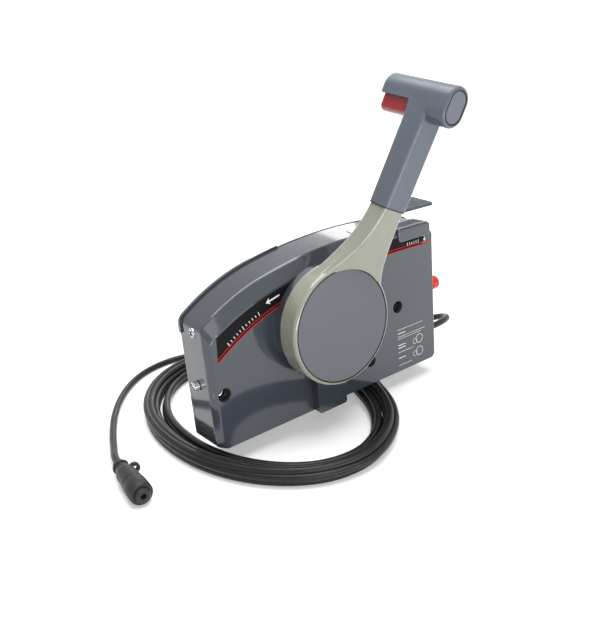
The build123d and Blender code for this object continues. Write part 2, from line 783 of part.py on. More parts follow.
def grip_end_cap():
    rim = end_cap_rim + end_cap_gap
    outline = SlotOverall(head_tall - 2 * rim, head_wide - 2 * rim)
    return extrude(head_plane(-head_front + end_cap_sunk) * outline, end_cap_thick)


def trigger():
    """Bar under the head, with the narrower stem that carries the lock rod inside the grip."""
    foot, top = trigger_foot, trigger_foot + trigger_tall
    near = grip_deep / 2 + fit
    stem = head_block(foot, top, -trigger_stem_front, near + joint_depth, trigger_stem)
    bar = head_block(foot, top, near, trigger_reach, trigger_wide)
    low = head_frame(foot)
    along = [e for e in bar.edges() if abs(low.to_local_coords(e.center()).Z) < 0.01]
    sides = [e for e in along if abs(low.to_local_coords(e.center()).X) > trigger_wide / 4]
    bar = fillet(sides, trigger_round)
    end = head_plane(trigger_reach)
    bar = fillet([e for e in bar.edges() if abs(end.to_local_coords(e.center()).Z) < 0.01], head_round / 2)
    return stem + bar


def neutral_lock_ring():
    outline = Circle(lock_ring_outer) - Circle(lock_ring_inner)
    ring = extrude(depth_plane(groove_floor) * outline, groove_deep - lock_ring_sunk)
    notch = Box(2 * (rod_radius + notch_play), 2 * groove_deep, lock_ring_wall + joint_depth)
    return ring - arm_plane(lock_ring_outer, boss_face, 0) * notch


def detent_plate():
    """Disc on the shaft with three notches for the ball: forward, neutral and reverse."""
    plate = disc(detent_radius, detent_near, detent_near + detent_thick)
    circle = detent_radius + notch_out
    for turn in (-detent_turn, 0, detent_turn):
        place = radians(turn - 90)
        x, z = circle * cos(place), circle * sin(place)
        plate -= disc(ball_radius, detent_near - skin, detent_near + detent_thick + skin, x, z)
    return plate - disc(shaft_radius, 0, box_depth)


def detent_holder():
    top = ball_height
    deep = detent_middle + holder_wall - plate_thick
    block = Pos(0, -plate_thick - deep / 2, top - holder_tall / 2) * Box(holder_wide, deep, holder_tall)
    bore = Pos(0, -detent_middle, top + skin - holder_bore_deep / 2)
    return block - bore * Cylinder(ball_radius + holder_bore_play, holder_bore_deep)


def detent_ball():
    return Pos(0, -detent_middle, ball_height) * Sphere(ball_radius)


# ---- stop switch ----
def stop_button():
    crown = box_aft + button_out
    stem = end_disc(stem_radius, box_aft - stem_inside, crown - button_thick / 2, switch_depth, switch_height)
    head = end_disc(button_radius, crown - button_thick, crown, switch_depth, switch_height)
    return stem + fillet(head.edges().filter_by(GeomType.CIRCLE), button_round)


def stop_switch():
    inner = box_aft - wall - switch_length
    shoulder = box_aft - wall - fit
    body = end_disc(switch_radius, inner, shoulder, switch_depth, switch_height)
    neck = switch_radius - switch_neck
    body += end_disc(neck, shoulder - joint_depth, box_aft + switch_neck_out, switch_depth, switch_height)
    for side in (-1, 1):
        blade = Box(terminal_long, terminal_wide, terminal_thick)
        body += Pos(inner - terminal_long / 2, -switch_depth, switch_height + side * terminal_place) * blade
    bore = stem_radius + stem_play
    near, far = box_aft - stem_room, box_aft + switch_neck_out + skin
    return body - end_disc(bore, near, far, switch_depth, switch_height)


def stop_switch_nut():
    seat = end_plane(end_face + nut_gap, switch_depth, switch_height)
    nut = extrude(seat * RegularPolygon(switch_radius + nut_grow, 6), nut_thick)
    far = end_face + nut_gap + nut_thick + skin
    return nut - end_disc(switch_radius - switch_neck, box_aft, far, switch_depth, switch_height)


def cable_grommet():
    seat = end_face + grommet_gap
    body = end_disc(grommet_neck, box_aft - wall, seat, switch_depth, cable_height)
    body += end_disc(grommet_radius, seat, end_face + grommet_out, switch_depth, cable_height)
    near, far = box_aft - wall - skin, end_face + grommet_out + skin
    return body - end_disc(cable_radius, near, far, switch_depth, cable_height)


# ---- cable ----
lead_start = end_face - 2 * skin
lead_route = (
    (lead_start, -switch_depth, cable_height),
    (145.0, -18.8, -55.0),
    (161.0, -15.8, -55.8),
    (175.0, -7.0, -57.4),
    (180.5, 7.5, -60.2),
    (176.5, 23.5, -63.8),
    (165.5, 38.5, -68.0),
    (150.0, 51.5, -72.6),
    (132.0, 62.5, -77.4),
    (112.5, 72.5, -82.2),
    (93.5, 83.0, -86.2),
    (74.0, 95.5, cable_level),
    (55.0, 110.0, cable_level),
)
tail_route = (
    (30.0, 134.0, cable_level),
    (12.0, 155.0, cable_level),
    (-13.0, 173.0, cable_level),
    (-41.0, 178.0, cable_level),
    (-69.0, 170.5, cable_level),
    (-92.0, 153.5, cable_level),
    (-113.0, 129.0, cable_level),
    (-130.0, 101.0, cable_level),
    (-143.0, 73.0, cable_level + 0.4),
    (-153.0, 47.0, floor_height + 5.4),
    (-160.4, 26.5, plug_level),
    (-162.0, 9.0, plug_level),
)


def cord_tube(route, name):
    """Tube of straight runs and arcs, each arc as large as its runs allow."""
    points = [Vector(*p) for p in route]
    radii = []
    for before, here, after in zip(points, points[1:], points[2:]):
        turn = radians((here - before).get_angle(after - here))
        run = min((here - before).length, (after - here).length)
        radii.append(0.45 * run / tan(turn / 2))
    print(name, "radii in diameters:", [round(r / (2 * cable_radius), 1) for r in radii])
    path = FilletPolyline(*points, radius=radii)
    tube = rod_sweep(path, cable_radius)
    print(name, "length", round(path.length, 1), "volume ratio",
          round(tube.volume / (pi * cable_radius ** 2 * path.length), 4))
    return tube


def cable_coil():
    """Outer shape of the coil that the box stands on."""
    along, over = coil_radii
    half = coil_band / 2
    ring = Ellipse(along + half, over + half) - Ellipse(along - half, over - half)
    body = extrude(Pos(*coil_centre, floor_height) * ring, coil_top - floor_height)
    return fillet(body.edges(), coil_round)


# ---- connector ----
def connector_plane(along):
    """Plane across the connector, this far on from the end of the cable, facing on along it."""
    last, before = Vector(*tail_route[-1]), Vector(*tail_route[-2])
    way = Vector(last.X - before.X, last.Y - before.Y, 0).normalized()
    return Plane(origin=last + way * along, x_dir=(way.Y, -way.X, 0), z_dir=way)


def turned(*profile):
    """Ring turned about the connector's axis from (distance along, radius) corners."""
    plane = connector_plane(0)
    side = Plane(origin=plane.origin, x_dir=plane.z_dir, z_dir=plane.x_dir)
    return revolve(side * make_face(Polyline(*profile, close=True)), axis=Axis(plane.origin, plane.z_dir))


def connector_boot():
    """Tapered strain relief with the eye that a cap's strap is tied to."""
    r = cable_radius
    body = turned(
        (-boot_back, r), (-boot_back, r + boot_wall), (0, r + boot_flare),
        (boot_front, boot_mouth), (boot_front, r),
    )
    plane = connector_plane(eye_along)
    eye = plane * Pos(-eye_out, 0) * (Circle(eye_radius) - Circle(eye_hole))
    bridge = plane * Pos(-eye_out + eye_radius, 0) * Rectangle(eye_radius, eye_radius)
    bridge -= plane * Pos(-eye_out, 0) * Circle(eye_hole)
    return body + extrude(eye, eye_thick) + extrude(bridge, eye_thick)


def connector_body():
    start, cone = boot_front, body_shoulder
    return turned(
        (start, 0), (start, body_back), (start + cone, (body_back + body_front) / 2),
        (body_end - cone, body_front), (body_end, body_front), (body_end, 0),
    )


def connector_seal():
    return turned(
        (body_end, plug_radius), (body_end, seal_radius),
        (seal_end, seal_radius), (seal_end, plug_radius),
    )


def connector_ring():
    return turned(
        (seal_end, plug_radius), (seal_end, ring_radius), (ring_end - ring_cone, ring_radius),
        (ring_end, ring_radius - ring_cone / 2), (ring_end, plug_radius),
    )


def connector_plug():
    body = turned(
        (body_end, 0), (body_end, plug_radius), (plug_end - plug_cone, plug_radius),
        (plug_end, plug_radius - plug_cone), (plug_end, 0),
    )
    return body - extrude(connector_plane(plug_end - socket_deep) * Circle(socket_radius), socket_deep + skin)


# ---- build ----
save(front_housing(), "front_housing")
save(back_plate(), "back_plate")
for name, (x, z) in zip(("forward", "aft", "lower"), bolt_places):
    save(bolt_sleeve(x, z), f"bolt_sleeve_{name}", STEEL)
gears_end = gear_depth + gear_width
save(pivot_pin(sector_pivot, gears_end + shift_arm_thick + fit), "shift_pivot_pin", STEEL)
save(pivot_pin(throttle_pivot, gears_end + fit), "throttle_pivot_pin", STEEL)
save(idle_pivot_pin(), "idle_pivot_pin", STEEL)
bush = Circle(shaft_radius + bush_wall) - Circle(shaft_radius + fit / 2)
save(extrude(depth_plane(cavity_front - skin) * bush, boss_face - cavity_front + skin), "shaft_bush", BRASS)
save(neutral_lock_ring(), "neutral_lock_ring", STEEL)
save(detent_holder(), "detent_holder", GREY)
save(detent_ball(), "detent_ball", STEEL)
save(end_screw(), "end_screw", STEEL)
save(friction_screw(), "friction_screw", STEEL)
save(stop_switch(), "stop_switch", BLACK)
save(stop_switch_nut(), "stop_switch_nut", BLACK)
save(cable_grommet(), "cable_grommet", BLACK)

save(stop_button(), "stop_button", RED)
save(shift_sector(), "shift_sector", STEEL)
save(fast_idle_lever(), "fast_idle_lever")
save(throttle_arm(), "throttle_arm", STEEL)

save(control_arm(), "control_arm", BEIGE)
save(disc(cap_radius, hub_face - cap_thick + cap_gap, hub_face - cap_sunk), "hub_cap", GREY)
save(disc(shaft_radius, plate_thick + fit, bolt_seat), "drive_shaft", STEEL)
save(drive_pinion(), "drive_pinion", STEEL)
save(detent_plate(), "detent_plate", STEEL)
save(disc(washer_radius, bolt_seat, bolt_seat + washer_thick), "hub_washer", STEEL)
bolt_head = depth_plane(bolt_seat + washer_thick) * RegularPolygon(bolt_head_radius, 6)
save(extrude(bolt_head, bolt_head_thick), "hub_bolt", STEEL)
save(grip(), "grip")
save(grip_end_cap(), "grip_end_cap")

save(trigger(), "trigger", RED)
save(lock_rod(), "lock_rod", STEEL)

save(cord_tube(lead_route, "lead"), "cable_lead", BLACK)
save(cable_coil(), "cable_coil", BLACK)
save(cord_tube(tail_route, "tail"), "cable_tail", BLACK)
save(connector_boot(), "connector_boot", BLACK)
save(connector_body(), "connector_body", BLACK)
save(connector_seal(), "connector_seal", BLACK)
save(connector_ring(), "connector_ring", BLACK)
save(connector_plug(), "connector_plug", BLACK)
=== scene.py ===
"""Looks of the boat throttle control: materials, cord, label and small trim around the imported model.

Blender units are metres. MM turns a size in millimetres into metres.
The frame is the model's own: +X aft, +Y into the mounting panel, +Z up.
"""
from math import atan2, cos, hypot, pi, radians, sin

import bmesh
import bpy
from mathutils import Matrix, Vector
from mathutils.bvhtree import BVHTree
from mathutils.geometry import convex_hull_2d


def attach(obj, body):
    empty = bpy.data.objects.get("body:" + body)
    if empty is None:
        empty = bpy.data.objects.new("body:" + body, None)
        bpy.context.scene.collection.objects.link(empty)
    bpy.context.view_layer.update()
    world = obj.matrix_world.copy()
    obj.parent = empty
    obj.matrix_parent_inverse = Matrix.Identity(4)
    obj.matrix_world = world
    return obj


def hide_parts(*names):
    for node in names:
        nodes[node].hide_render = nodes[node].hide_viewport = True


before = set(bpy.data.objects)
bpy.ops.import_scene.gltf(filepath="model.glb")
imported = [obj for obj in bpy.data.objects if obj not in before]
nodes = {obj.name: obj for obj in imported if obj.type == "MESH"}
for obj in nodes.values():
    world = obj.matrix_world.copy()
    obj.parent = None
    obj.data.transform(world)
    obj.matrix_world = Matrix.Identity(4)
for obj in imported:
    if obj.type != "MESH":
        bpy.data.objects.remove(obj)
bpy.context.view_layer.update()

scene = bpy.context.scene
MM = 0.001

# ---- sizes shared with the model, millimetres ----
floor_height = -91.0
cable_radius = 3.0
cable_level = floor_height + cable_radius + 0.05
plug_level = floor_height + 8.7
box_depth = 34.8
lever_lean_aft = radians(23.3)
face_low = (-98.4, 10.8)        # the front face's top edge: forward end, haunch and aft end, as X and Z
face_haunch = (-43.4, 33.6)
face_high = (128.3, 43.1)
face_slope = radians(13.2)
hub_face = 63.2                 # mounting face to the hub's front
cap_radius = 43.6
pad_top = 51.4
blade_top = 66.6


# ---- materials ----
class Paint:
    """A node material: a Principled shader with blotches, uneven gloss and fine relief."""

    def __init__(self, name, colour, rough, metal=0.0, coat=0.0, spec=0.5):
        self.material = bpy.data.materials.new(name)
        self.material.use_nodes = True
        self.tree = self.material.node_tree
        self.shader = self.tree.nodes["Principled BSDF"]
        self.set("Base Color", (*colour, 1))
        self.set("Roughness", rough)
        self.set("Metallic", metal)
        self.set("Coat Weight", coat)
        self.set("Coat Roughness", 0.07)
        self.set("Specular IOR Level", spec)
        self.colour = colour
        self.rough = rough
        self.place = self.add("ShaderNodeTexCoord").outputs["Object"]

    def set(self, socket, value):
        self.shader.inputs[socket].default_value = value

    def add(self, kind, **settings):
        node = self.tree.nodes.new(kind)
        for key, value in settings.items():
            setattr(node, key, value)
        return node

    def link(self, out, into):
        self.tree.links.new(out, into)

    def noise(self, scale, detail, rough, stretch=None):
        node = self.add("ShaderNodeTexNoise")
        node.inputs["Scale"].default_value = scale
        node.inputs["Detail"].default_value = detail
        node.inputs["Roughness"].default_value = rough
        if stretch:
            mapping = self.add("ShaderNodeMapping")
            mapping.inputs["Scale"].default_value = stretch
            self.link(self.place, mapping.inputs["Vector"])
            self.link(mapping.outputs["Vector"], node.inputs["Vector"])
        else:
            self.link(self.place, node.inputs["Vector"])
        return node.outputs["Fac"]

    def spread(self, value, low, high):
        """The middle of a noise, 0.3 to 0.7, mapped to low..high."""
        node = self.add("ShaderNodeMapRange")
        node.inputs["From Min"].default_value = 0.3
        node.inputs["From Max"].default_value = 0.7
        node.inputs["To Min"].default_value = low
        node.inputs["To Max"].default_value = high
        self.link(value, node.inputs["Value"])
        return node.outputs["Result"]

    def vary_rough(self, scale, amount, stretch=None):
        value = self.noise(scale, 5.0, 0.6, stretch)
        spread = self.spread(value, self.rough - amount, self.rough + amount)
        self.link(spread, self.shader.inputs["Roughness"])

    def vary_colour(self, scale, other, share):
        """Blotches of another colour."""
        mix = self.add("ShaderNodeMix", data_type="RGBA")
        mix.inputs["A"].default_value = (*self.colour, 1)
        mix.inputs["B"].default_value = (*other, 1)
        value = self.noise(scale, 4.0, 0.55)
        self.link(self.spread(value, 0.0, share), mix.inputs["Factor"])
        self.link(mix.outputs["Result"], self.shader.inputs["Base Color"])

    def grain(self, scale, height):
        """Fine relief, its height in millimetres."""
        bump = self.add("ShaderNodeBump")
        bump.inputs["Strength"].default_value = 1.0
        bump.inputs["Distance"].default_value = height * MM
        self.link(self.noise(scale, 3.0, 0.55), bump.inputs["Height"])
        self.link(bump.outputs["Normal"], self.shader.inputs["Normal"])
        return self


def housing_paint():
    """Gloss moulded plastic, bluish grey, with a faint orange peel."""
    paint = Paint("housing_gloss", (0.036, 0.044, 0.056), 0.24, coat=1.0, spec=0.1)
    paint.vary_colour(9.0, (0.042, 0.050, 0.062), 0.6)
    paint.vary_rough(38.0, 0.04)
    return paint.grain(420.0, 0.035)


def arm_paint():
    """Warm greenish grey enamel on a cast lever."""
    paint = Paint("arm_enamel", (0.235, 0.245, 0.198), 0.26, coat=1.0, spec=0.1)
    paint.vary_colour(14.0, (0.255, 0.262, 0.215), 0.7)
    paint.vary_rough(60.0, 0.06)
    return paint.grain(650.0, 0.03)


def cap_paint():
    """Satin plastic of the hub cap."""
    paint = Paint("cap_satin", (0.094, 0.103, 0.117), 0.42, coat=0.1, spec=0.25)
    paint.vary_colour(10.0, (0.102, 0.110, 0.123), 0.6)
    paint.vary_rough(55.0, 0.05)
    return paint.grain(800.0, 0.02)


def grip_paint(name="grip_satin", colour=(0.094, 0.110, 0.137)):
    """Satin plastic of the grip and its end cap; also the pad's ribs, made pale as a painted highlight."""
    paint = Paint(name, colour, 0.36, coat=0.12, spec=0.3)
    paint.vary_colour(16.0, tuple(c * 1.15 for c in colour), 0.6)
    paint.vary_rough(70.0, 0.06)
    return paint.grain(900.0, 0.03)


def blade_paint():
    """Textured top of the fast-idle blade, a little greener than the box."""
    paint = Paint("blade_satin", (0.080, 0.094, 0.104), 0.60, spec=0.05)
    paint.vary_colour(30.0, (0.100, 0.112, 0.120), 0.8)
    paint.vary_rough(60.0, 0.06)
    return paint.grain(700.0, 0.05)


def red_paint(name, colour, rough, coat):
    """Glossy red plastic with a little depth."""
    paint = Paint(name, colour, rough, coat=coat)
    paint.set("Specular IOR Level", 0.25)
    paint.set("Subsurface Weight", 0.08)
    paint.set("Subsurface Radius", (0.004, 0.0008, 0.0006))
    paint.set("Subsurface Scale", 0.6)
    paint.vary_rough(80.0, 0.04)
    paint.vary_colour(30.0, tuple(c * 0.8 for c in colour), 0.6)
    return paint.grain(500.0, 0.015)


def metal_paint(name, colour, rough):
    """Metal with a faint drawn grain."""
    paint = Paint(name, colour, rough, metal=1.0)
    paint.vary_rough(220.0, 0.08, stretch=(1.0, 0.15, 1.0))
    paint.vary_colour(60.0, tuple(c * 0.82 for c in colour), 0.7)
    return paint.grain(1400.0, 0.012)


def rubber_paint(name, colour, rough, scale=520.0):
    """Dull rubber, sheath or dark plastic, and the near black of painted shade in gaps."""
    paint = Paint(name, colour, rough, spec=0.22)
    paint.vary_colour(45.0, tuple(c * 1.7 for c in colour), 0.8)
    paint.vary_rough(90.0, 0.09)
    return paint.grain(scale, 0.06)


def print_paint(name, colour):
    """Ink of the label."""
    paint = Paint(name, colour, 0.50, spec=0.06)
    paint.vary_colour(120.0, tuple(c * 0.85 for c in colour), 0.5)
    paint.vary_rough(90.0, 0.05)
    return paint.grain(900.0, 0.01)


paints = {
    "housing": housing_paint(),
    "arm": arm_paint(),
    "cap": cap_paint(),
    "grip": grip_paint(),
    "grip_cap": grip_paint("grip_cap_satin", (0.112, 0.125, 0.150)),
    "trigger_red": red_paint("trigger_gloss", (0.33, 0.002, 0.010), 0.16, 0.35),
    "button_red": red_paint("button_gloss", (0.66, 0.020, 0.016), 0.28, 0.2),
    "steel": metal_paint("steel_plain", (0.52, 0.53, 0.54), 0.34),
    "chrome": metal_paint("chrome_bright", (0.80, 0.80, 0.81), 0.16),
    "screw": metal_paint("screw_plated", (0.42, 0.43, 0.45), 0.26),
    "brass": metal_paint("brass_plain", (0.62, 0.46, 0.20), 0.36),
    "rubber": rubber_paint("rubber_black", (0.010, 0.010, 0.011), 0.55),
    "cable": rubber_paint("cable_sheath", (0.009, 0.009, 0.010), 0.34),
    "black_plastic": rubber_paint("connector_plastic", (0.018, 0.018, 0.019), 0.42, 700.0),
    "label_black": print_paint("label_ground", (0.008, 0.008, 0.009)),
    "label_red": print_paint("label_red_ink", (0.52, 0.018, 0.020)),
    "label_white": print_paint("label_white_ink", (0.78, 0.78, 0.76)),
    # pale grey of the pad's ribs: a painted highlight that stands for the overhead lamp's reflection on the
    # pad's top
    "pad_rib_highlight": grip_paint("pad_rib_painted_highlight", (0.34, 0.36, 0.38)),
    # near black of painted shade, put into gaps, slots, grooves and recesses where shade falls
    "gap_shade": rubber_paint("painted_gap_shade", (0.008, 0.008, 0.009), 0.6),
    "blade": blade_paint(),
}

dresses = {
    "housing": ("front_housing", "back_plate", "detent_holder"),
    "blade": ("fast_idle_lever",),
    "arm": ("control_arm",),
    "cap": ("hub_cap",),
    "grip": ("grip",),
    "grip_cap": ("grip_end_cap",),
    "trigger_red": ("trigger",),
    "button_red": ("stop_button",),
    "steel": (
        "shift_pivot_pin", "throttle_pivot_pin", "idle_pivot_pin", "neutral_lock_ring", "detent_ball",
        "shift_sector", "throttle_arm", "drive_shaft", "drive_pinion", "detent_plate", "hub_washer",
        "hub_bolt", "lock_rod",
    ),
    "chrome": (
        "bolt_sleeve_forward", "bolt_sleeve_aft", "bolt_sleeve_lower", "end_screw", "friction_screw",
    ),
    "brass": ("shaft_bush",),
    "rubber": ("cable_grommet", "connector_seal"),
    "black_plastic": (
        "stop_switch", "stop_switch_nut", "connector_boot", "connector_body", "connector_ring",
        "connector_plug",
    ),
}


def dress(obj, paint):
    """The piece wears this paint alone."""
    obj.data.materials.clear()
    obj.data.materials.append(paints[paint].material)


def soften(obj, width, segments=3, angle=30.0):
    """Small rounded edges on a piece of the model."""
    weld = obj.modifiers.new("weld", "WELD")
    weld.merge_threshold = 0.00001
    bevel = obj.modifiers.new("edge", "BEVEL")
    bevel.width = width * MM
    bevel.segments = segments
    bevel.limit_method = "ANGLE"
    bevel.angle_limit = radians(angle)
    bevel.harden_normals = False
    bevel.use_clamp_overlap = True


for paint, names in dresses.items():
    for name in names:
        dress(nodes[name], paint)

# roundings of the model's own pieces, millimetres
edge_widths = {
    "stop_switch_nut": 0.4, "grip_end_cap": 0.4, "hub_cap": 0.4, "back_plate": 0.5,
    "connector_body": 0.5, "connector_ring": 0.5, "connector_seal": 0.2, "connector_plug": 0.3,
    "connector_boot": 0.4, "bolt_sleeve_forward": 0.3, "bolt_sleeve_aft": 0.3, "bolt_sleeve_lower": 0.3,
    "cable_grommet": 0.5,
}


def placed(name, work, paint, body):
    """The edit mesh as an object of the scene that rides a body."""
    mesh = bpy.data.meshes.new(name)
    work.to_mesh(mesh)
    work.free()
    piece = bpy.data.objects.new(name, mesh)
    scene.collection.objects.link(piece)
    mesh.materials.append(paints[paint].material)
    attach(piece, body)
    return piece


# ---- the cord ----
lead_route = (
    (127.9, -18.8, -55.0),
    (145.0, -18.8, -55.0),
    (162.0, -16.0, -55.8),
    (177.0, -8.0, -58.0),
    (183.2, 6.0, -62.4),
    (180.0, 22.0, -68.5),
    (168.5, 37.5, -73.0),
    (151.0, 50.8, -77.0),
    (132.0, 62.5, -80.8),
    (112.5, 72.5, -84.4),
    (93.5, 83.0, -87.0),
    (74.0, 95.5, cable_level),
    (55.0, 110.0, cable_level),
)
tail_route = (
    (30.0, 134.0, cable_level + 7.6),
    (12.0, 155.0, cable_level + 2.0),
    (-13.0, 173.0, cable_level),
    (-41.0, 178.0, cable_level),
    (-69.0, 170.5, cable_level),
    (-92.0, 153.5, cable_level),
    (-113.0, 129.0, cable_level),
    (-130.0, 101.0, cable_level),
    (-143.0, 73.0, cable_level + 0.4),
    (-153.0, 47.0, floor_height + 5.4),
    (-160.4, 26.5, plug_level),
    (-162.0, 9.0, plug_level),
)
coil_centre = (-22.0, 20.0)
coil_radii = (88.0, 118.0)
coil_start = 48.0               # degrees round from +X towards +Y
coil_end = 2920.0
turn_points = 16
# where each turn of the coil starts: outside the middle of the band, and above the floor's layer
turn_places = (9.8, 2.2, -5.4, -10.6, -3.0, 4.8, 10.4, 2.0, 6.4)
turn_heights = (0.0, 0.0, 0.0, 4.9, 4.9, 4.9, 8.65, 8.65, 8.65)
# the whole band bulges outwards by this much at each angle
band_bulge = (
    (0, 0.0), (60, 0.0), (120, 1.5), (150, 3.0), (180, 2.5), (200, 4.5), (225, 7.0), (254, 9.5),
    (270, 7.0), (290, 0.0), (310, -3.5), (335, -6.0), (360, 0.0),
)
band_half = 11.0                # no strand lies further than this from the middle of the band
climb_share = 0.4               # a turn rises to the next layer in this last share of its way round
# slow waves that keep the strands from lying dead parallel: size, rate and phase
strand_waves = ((0.9, 0.73, 1.1), (0.6, 1.91, 0.4))


def smooth(t):
    """0..1 eased in and out."""
    t = min(1.0, max(0.0, t))
    return t * t * (3 - 2 * t)


def bulge(theta):
    """How far the band bulges outwards at this angle in degrees."""
    theta %= 360.0
    for (a, low), (b, high) in zip(band_bulge, band_bulge[1:]):
        if theta <= b:
            return low + (high - low) * smooth((theta - a) / (b - a))
    return 0.0


def coil_point(angle):
    """Centre of the cord at this many degrees of the coil's winding."""
    turn = (angle - coil_start) / 360.0
    index = min(int(turn), len(turn_places) - 2)
    share = turn - index
    offset = turn_places[index] + (turn_places[index + 1] - turn_places[index]) * share
    climb = smooth((share - (1 - climb_share)) / climb_share)
    rise = turn_heights[index] + (turn_heights[index + 1] - turn_heights[index]) * climb
    wander = sum(size * sin(radians(angle) * rate + phase) for size, rate, phase in strand_waves)
    offset = max(-band_half, min(band_half, offset + wander)) + bulge(angle)
    theta = radians(angle)
    return (
        coil_centre[0] + (coil_radii[0] + offset) * cos(theta),
        coil_centre[1] + (coil_radii[1] + offset) * sin(theta),
        cable_level + rise,
    )


def build_cord():
    """One cable from the grommet through the coil to the connector."""
    steps = round((coil_end - coil_start) / 360 * turn_points)
    angles = [coil_start + (coil_end - coil_start) * step / steps for step in range(steps + 1)]
    route = list(lead_route) + [coil_point(angle) for angle in angles] + list(tail_route)
    curve = bpy.data.curves.new("cable", "CURVE")
    curve.dimensions = "3D"
    curve.bevel_depth = cable_radius * MM
    curve.bevel_resolution = 5
    curve.resolution_u = 6
    curve.use_fill_caps = True
    spline = curve.splines.new("NURBS")
    spline.points.add(len(route) - 1)
    for point, place in zip(spline.points, route):
        point.co = (*(v * MM for v in place), 1.0)
    spline.order_u = 3
    spline.use_endpoint_u = True
    cable = bpy.data.objects.new("cable", curve)
    scene.collection.objects.link(cable)
    curve.materials.append(paints["cable"].material)
    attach(cable, "box")
    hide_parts("cable_lead", "cable_coil", "cable_tail")


# ---- flat print on the front face ----
def arc(start, end, slope, steps):
    """Points of the round arc from start to end that leaves start at this slope."""
    chord = Vector((end[0] - start[0], end[1] - start[1]))
    swing = (slope - atan2(chord.y, chord.x) + pi) % (2 * pi) - pi
    points = []
    for step in range(steps + 1):
        t = step / steps
        if abs(swing) < 1e-6:
            points.append((start[0] + chord.x * t, start[1] + chord.y * t))
            continue
        radius = chord.length / (2 * sin(swing))
        heading = slope - swing * 2 * t
        points.append((
            start[0] + radius * (sin(slope) - sin(heading)),
            start[1] - radius * (cos(slope) - cos(heading)),
        ))
    return points


def flat_piece(name, outlines, depth, thick, paint):
    """Thin plate on the front of the box from closed outlines in X and Z."""
    work = bmesh.new()
    for outline in outlines:
        front = [work.verts.new((x * MM, -(depth + thick) * MM, z * MM)) for x, z in outline]
        back = [work.verts.new((x * MM, -depth * MM, z * MM)) for x, z in outline]
        work.faces.new(front)
        work.faces.new(list(reversed(back)))
        for i in range(len(front)):
            j = (i + 1) % len(front)
            work.faces.new((front[j], front[i], back[i], back[j]))
    bmesh.ops.recalc_face_normals(work, faces=work.faces)
    bmesh.ops.triangulate(work, faces=[f for f in work.faces if len(f.verts) > 4])
    return placed(name, work, paint, "box")


def shift_in(points, distance):
    """The same run of points moved to its left by this distance."""
    moved = []
    for i, (x, z) in enumerate(points):
        x0, z0 = points[max(0, i - 1)]
        x1, z1 = points[min(len(points) - 1, i + 1)]
        run = hypot(x1 - x0, z1 - z0)
        moved.append((x - (z1 - z0) / run * distance, z + (x1 - x0) / run * distance))
    return moved


def strip(points, near, far):
    """Outline of a band that runs along points, from near to far on their left."""
    return shift_in(points, near) + list(reversed(shift_in(points, far)))


def bar(x, z, length, width, turn=0.0):
    """Outline of a small bar centred at x, z."""
    c, s = cos(turn), sin(turn)
    a, b = length / 2, width / 2
    return [(x + u * c - v * s, z + u * s + v * c) for u, v in ((-a, -b), (a, -b), (a, b), (-a, b))]


label_depth = box_depth + 0.02
label_thick = 0.10
label_face = label_depth + label_thick
ink_thick = 0.04
label_bend = (-20.0, 24.4)      # the two arcs of the lower edge meet here
label_low = (
    arc((-94.5, -7.2), label_bend, radians(35.0), 24)
    + arc(label_bend, (125.6, 32.0), radians(9.0), 24)[1:]
)
label_top = (
    arc(face_haunch, face_low, face_slope + pi, 24)[::-1]
    + arc(face_haunch, face_high, face_slope, 36)[1:]
)
label_margin = 1.6              # from the face's edge down to the label
label_left = -95.0
label_right = 126.6
stripes = ((0.0, 0.65), (2.2, 2.75))    # each one's edges, above the label's lower edge


def build_label():
    """Black ground under the face's upper edge, with two red stripes."""
    top = [p for p in shift_in(label_top, -label_margin) if label_left <= p[0] <= label_right]
    outline = label_low[:-2] + list(reversed(top))
    flat_piece("label_ground", [outline], label_depth, label_thick, "label_black")
    lines = [strip(label_low, low, high) for low, high in stripes]
    flat_piece("label_stripes", lines, label_face, ink_thick, "label_red")


def arrow(x, z, length, turn, head=3.6, width=1.3):
    """Plain arrow pointing along turn, with its tip at x, z."""
    c, s = cos(turn), sin(turn)
    shape = (
        (0, 0), (-head, head * 0.72), (-head * 0.80, width / 2), (-length, width / 2),
        (-length, -width / 2), (-head * 0.80, -width / 2), (-head, -head * 0.72),
    )
    return [(x + a * c - b * s, z + a * s + b * c) for a, b in shape]


def build_marks():
    """White marks: a forward arrow with a scale of ticks, and a small arrow with ticks at the aft end."""
    shapes = [arrow(-49.0, 25.8, 13.0, pi + radians(14.0))]
    ruler = arc((-84.0, 4.6), (-56.0, 19.6), radians(36.0), 10)
    for i, (x, z) in enumerate(ruler):
        lean = radians(36.0 - 1.6 * i)
        tall = 3.4 if i % 5 == 0 else 2.0
        shapes.append(bar(x, z, tall, 0.5, lean + pi / 2))
    for i in range(6):
        shapes.append(bar(98.0 + 2.6 * i, 36.8, 2.2 if i % 5 else 3.0, 0.5, pi / 2))
    shapes.append(arrow(118.5, 35.4, 5.0, radians(-90.0), 2.2, 0.7))
    flat_piece("label_marks", shapes, label_face, ink_thick, "label_white")


def half_circle(x, z, radius, start, steps=28):
    """Points of half a circle about x, z, from this angle on."""
    turns = [start + pi * i / steps for i in range(steps + 1)]
    return [(x + radius * cos(turn), z + radius * sin(turn)) for turn in turns]


def ring_outline(x, z, radius, width):
    """Two half rings, so that each outline is a simple one."""
    return [
        half_circle(x, z, radius, start) + half_circle(x, z, radius - width, start)[::-1] for start in (0, pi)
    ]


panel_left, panel_right = 82.0, 116.0
# each line's Z and its share of the panel's width
panel_lines = ((-36.5, 0.92), (-43.0, 1.0), (-45.0, 0.85), (-57.5, 0.55), (-69.8, 0.5))
panel_dashes = (-40.0, -51.0, -53.5, -63.0)
panel_rings = (-51.5, -63.5)


